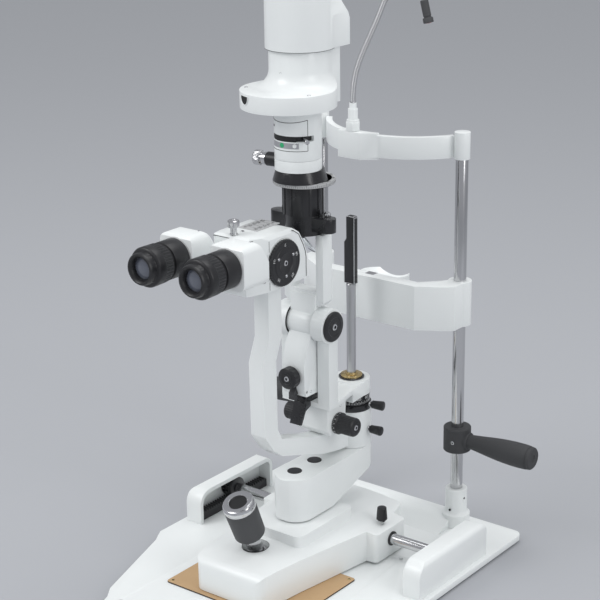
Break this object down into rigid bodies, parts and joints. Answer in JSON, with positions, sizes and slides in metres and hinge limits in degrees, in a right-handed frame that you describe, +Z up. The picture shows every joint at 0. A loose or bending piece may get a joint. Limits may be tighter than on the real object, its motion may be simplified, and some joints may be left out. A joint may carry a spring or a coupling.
{
  "type": "slit lamp",
  "caption": "Table-top slit lamp: stereo microscope and tilting lamp tower swing on one pivot, on a joystick-driven slide before a chin and forehead rest.",
  "frame": {"origin": "middle of the footprint at table level, under the base plate", "axes": "+Z up; +Y toward the patient; +X to the operator's right"},
  "size_m": [0.446, 0.495, 0.76],
  "materials": {
    "white_paint": "satin white enamel",
    "white_cover": "satin white enamel on a thin cover",
    "black_plastic": "matte",
    "black_metal": "satin black anodising",
    "grip_rubber": "matte",
    "grey_rubber": "matte",
    "polished_steel": "polished",
    "brushed_steel": "brushed",
    "friction_board": "matte brown laminate",
    "pad_vinyl": "soft vinyl",
    "mirror_glass": "silvered",
    "bulb_glass": "clear",
    "brass": "satin"
  },
  "bodies": {
    "base": {"base_plate": "white_paint", "rubber_feet": "grip_rubber", "friction_plate": "friction_board", "gear_racks": "black_plastic", "rail_guards": "white_paint", "rear_bar": "white_paint", "pillars": "polished_steel", "forehead_band": "white_cover", "forehead_pad": "pad_vinyl", "chin_bracket": "white_paint", "hand_grips": "grip_rubber"},
    "chin_rest": {"chin_post": "brushed_steel", "chin_cup": "white_cover"},
    "chin_drive": {"chin_knob": "black_plastic"},
    "fixation": {"fixation_plug": "white_cover", "fixation_gooseneck": "brushed_steel", "fixation_lamp": "grey_rubber"},
    "carriage": {"axle_tube": "polished_steel"},
    "wheels": {"wheel_set": "black_metal"},
    "slide": {"slide_base": "white_paint"},
    "slide_lock": {"slide_lock_knob": "black_plastic"},
    "gimbal": {"joystick_gimbal": "brushed_steel"},
    "stick": {"joystick_stem": "polished_steel"},
    "grip": {"joystick_grip": "grey_rubber"},
    "column": {"pedestal": "white_paint", "lift_column": "polished_steel", "pivot_post": "brass"},
    "microscope": {"microscope_arm": "white_paint", "microscope_body": "white_paint", "objective_lens": "black_metal"},
    "mic_lock": {"mic_lock_knob": "black_plastic"},
    "drum": {"magnification_drum": "black_plastic"},
    "right_prism": {"prism_right": "white_cover"},
    "left_prism": {"prism_left": "white_cover"},
    "right_eyepiece": {"eyepiece_right": "black_plastic"},
    "left_eyepiece": {"eyepiece_left": "black_plastic"},
    "thumbscrew": {"head_thumbscrew": "polished_steel"},
    "lamp_arm": {"lamp_fork": "white_paint", "slit_drive": "white_paint", "angle_scale": "black_metal", "tilt_quadrant": "black_metal", "hinge_pin": "black_plastic"},
    "arm_lock": {"arm_lock_knob": "black_plastic"},
    "slit_shaft": {"slit_knobs": "black_plastic"},
    "tower": {"tilt_column": "white_paint", "mirror_plate": "mirror_glass", "lens_bracket": "black_metal", "slit_scale": "black_metal", "filter_housing": "white_cover", "lamp_house": "white_cover", "lamp_bulb": "bulb_glass"},
    "tilt_lock": {"tilt_knob": "black_plastic"},
    "latch": {"tilt_latch": "black_metal"},
    "right_centring": {"centring_screw_right": "polished_steel"},
    "left_centring": {"centring_screw_left": "polished_steel"},
    "turret": {"slit_turret": "white_cover"},
    "aperture": {"aperture_knob": "polished_steel"},
    "filter": {"filter_lever": "black_metal"},
    "cap": {"lamp_cap": "white_cover"},
    "rod": {"test_rod": "brushed_steel"}
  },
  "joints": [
    {"name": "slide_fore_aft", "type": "slide", "parent": "base", "child": "carriage", "axis": [0, 1, 0], "range_m": [-0.055, 0.019]},
    {"name": "wheel_roll", "type": "hinge", "parent": "carriage", "child": "wheels", "pos_m": [0, 0.092, 0.035], "axis": [1, 0, 0], "range_deg": [-91, 263]},
    {"name": "slide_side", "type": "slide", "parent": "carriage", "child": "slide", "axis": [1, 0, 0], "range_m": [-0.055, 0.055]},
    {"name": "slide_lock_turn", "type": "hinge", "parent": "slide", "child": "slide_lock", "pos_m": [0.08, 0.088, 0.058], "axis": [0, 0, 1], "range_deg": [0, 180]},
    {"name": "stick_sideways", "type": "hinge", "parent": "slide", "child": "gimbal", "pos_m": [-0.004, -0.061, 0.05], "axis": [0, 1, 0], "range_deg": [-16, 16]},
    {"name": "stick_fore_aft", "type": "hinge", "parent": "gimbal", "child": "stick", "pos_m": [-0.004, -0.061, 0.05], "axis": [1, 0, 0], "range_deg": [-33, 3]},
    {"name": "grip_turn", "type": "hinge", "parent": "stick", "child": "grip", "pos_m": [-0.004, -0.061, 0.05], "axis": [0, -0.3907, 0.9205], "range_deg": [0, 1080]},
    {"name": "column_lift", "type": "slide", "parent": "slide", "child": "column", "axis": [0, 0, 1], "range_m": [0, 0.03]},
    {"name": "microscope_swing", "type": "hinge", "parent": "column", "child": "microscope", "pos_m": [0, 0.133, 0.156], "axis": [0, 0, 1], "range_deg": [-80, 80]},
    {"name": "mic_lock_turn", "type": "hinge", "parent": "microscope", "child": "mic_lock", "pos_m": [0, 0.133, 0.156], "axis": [0.9983, 0.0576, 0], "range_deg": [0, 180]},
    {"name": "magnification_turn", "type": "hinge", "parent": "microscope", "child": "drum", "pos_m": [0, -0.048, 0.43], "axis": [1, 0, 0], "continuous": true},
    {"name": "right_prism_swing", "type": "hinge", "parent": "microscope", "child": "right_prism", "pos_m": [0.015, -0.107, 0.432], "axis": [0, 1, 0], "range_deg": [-18, 6]},
    {"name": "left_prism_swing", "type": "hinge", "parent": "microscope", "child": "left_prism", "pos_m": [-0.015, -0.107, 0.432], "axis": [0, 1, 0], "range_deg": [-6, 18]},
    {"name": "right_diopter", "type": "hinge", "parent": "right_prism", "child": "right_eyepiece", "pos_m": [0.038, -0.151, 0.4505], "axis": [0, 1, 0], "range_deg": [-150, 150]},
    {"name": "left_diopter", "type": "hinge", "parent": "left_prism", "child": "left_eyepiece", "pos_m": [-0.038, -0.151, 0.4505], "axis": [0, 1, 0], "range_deg": [-150, 150]},
    {"name": "thumbscrew_turn", "type": "hinge", "parent": "microscope", "child": "thumbscrew", "pos_m": [0, -0.094, 0.469], "axis": [0, 0, 1], "range_deg": [0, 720]},
    {"name": "lamp_swing", "type": "hinge", "parent": "column", "child": "lamp_arm", "pos_m": [0, 0.133, 0.21], "axis": [0, 0, 1], "range_deg": [-75, 75]},
    {"name": "arm_lock_turn", "type": "hinge", "parent": "lamp_arm", "child": "arm_lock", "pos_m": [0, 0.133, 0.189], "axis": [0.9833, 0.1822, 0], "range_deg": [0, 180]},
    {"name": "slit_width_turn", "type": "hinge", "parent": "lamp_arm", "child": "slit_shaft", "pos_m": [0, 0.069, 0.186], "axis": [1, 0, 0], "range_deg": [0, 350]},
    {"name": "tower_tilt", "type": "hinge", "parent": "lamp_arm", "child": "tower", "pos_m": [0, 0.043, 0.325], "axis": [1, 0, 0], "range_deg": [0, 5]},
    {"name": "tilt_lock_turn", "type": "hinge", "parent": "tower", "child": "tilt_lock", "pos_m": [0, 0.012, 0.262], "axis": [0, 1, 0], "range_deg": [0, 180]},
    {"name": "latch_release", "type": "hinge", "parent": "tower", "child": "latch", "pos_m": [0, 0.017, 0.242], "axis": [1, 0, 0], "range_deg": [0, 12], "stiffness_Nm_per_rad": 0.1},
    {"name": "right_centring_turn", "type": "hinge", "parent": "tower", "child": "right_centring", "pos_m": [0.032, 0.042, 0.464], "axis": [0, 0, 1], "range_deg": [-180, 180]},
    {"name": "left_centring_turn", "type": "hinge", "parent": "tower", "child": "left_centring", "pos_m": [-0.032, 0.042, 0.464], "axis": [0, 0, 1], "range_deg": [-180, 180]},
    {"name": "slit_turn", "type": "hinge", "parent": "tower", "child": "turret", "pos_m": [0, 0.028, 0.529], "axis": [0, 0, 1], "range_deg": [-90, 90]},
    {"name": "aperture_turn", "type": "hinge", "parent": "turret", "child": "aperture", "pos_m": [0, 0.028, 0.529], "axis": [-0.9903, -0.1392, 0], "range_deg": [0, 300]},
    {"name": "filter_turn", "type": "hinge", "parent": "tower", "child": "filter", "pos_m": [0, 0.028, 0.563], "axis": [0, 0, 1], "range_deg": [-15, 15]},
    {"name": "cap_lift", "type": "slide", "parent": "tower", "child": "cap", "axis": [0, 0, 1], "range_m": [0, 0.06]},
    {"name": "rod_lift", "type": "slide", "parent": "column", "child": "rod", "axis": [0, 0, 1], "range_m": [0, 0.035]},
    {"name": "chin_knob_turn", "type": "hinge", "parent": "base", "child": "chin_drive", "pos_m": [0, 0.1682, 0.304], "axis": [1, 0, 0], "range_deg": [-631, 86.5]},
    {"name": "chin_lift", "type": "slide", "parent": "base", "child": "chin_rest", "axis": [0, 0, 1], "range_m": [-0.044, 0.006]},
    {"name": "fixation_swivel", "type": "hinge", "parent": "base", "child": "fixation", "pos_m": [-0.015, 0.159, 0.541], "axis": [0, 0, 1], "range_deg": [-15, 60]}
  ],
  "couplings": [
    {"joint": "wheel_roll", "follows": "slide_fore_aft", "rad_per_m": -83.333},
    {"joint": "grip_turn", "follows": "column_lift", "rad_per_m": 628.32},
    {"joint": "left_prism_swing", "follows": "right_prism_swing", "ratio": -1},
    {"joint": "chin_knob_turn", "follows": "chin_lift", "rad_per_m": 250}
  ]
}
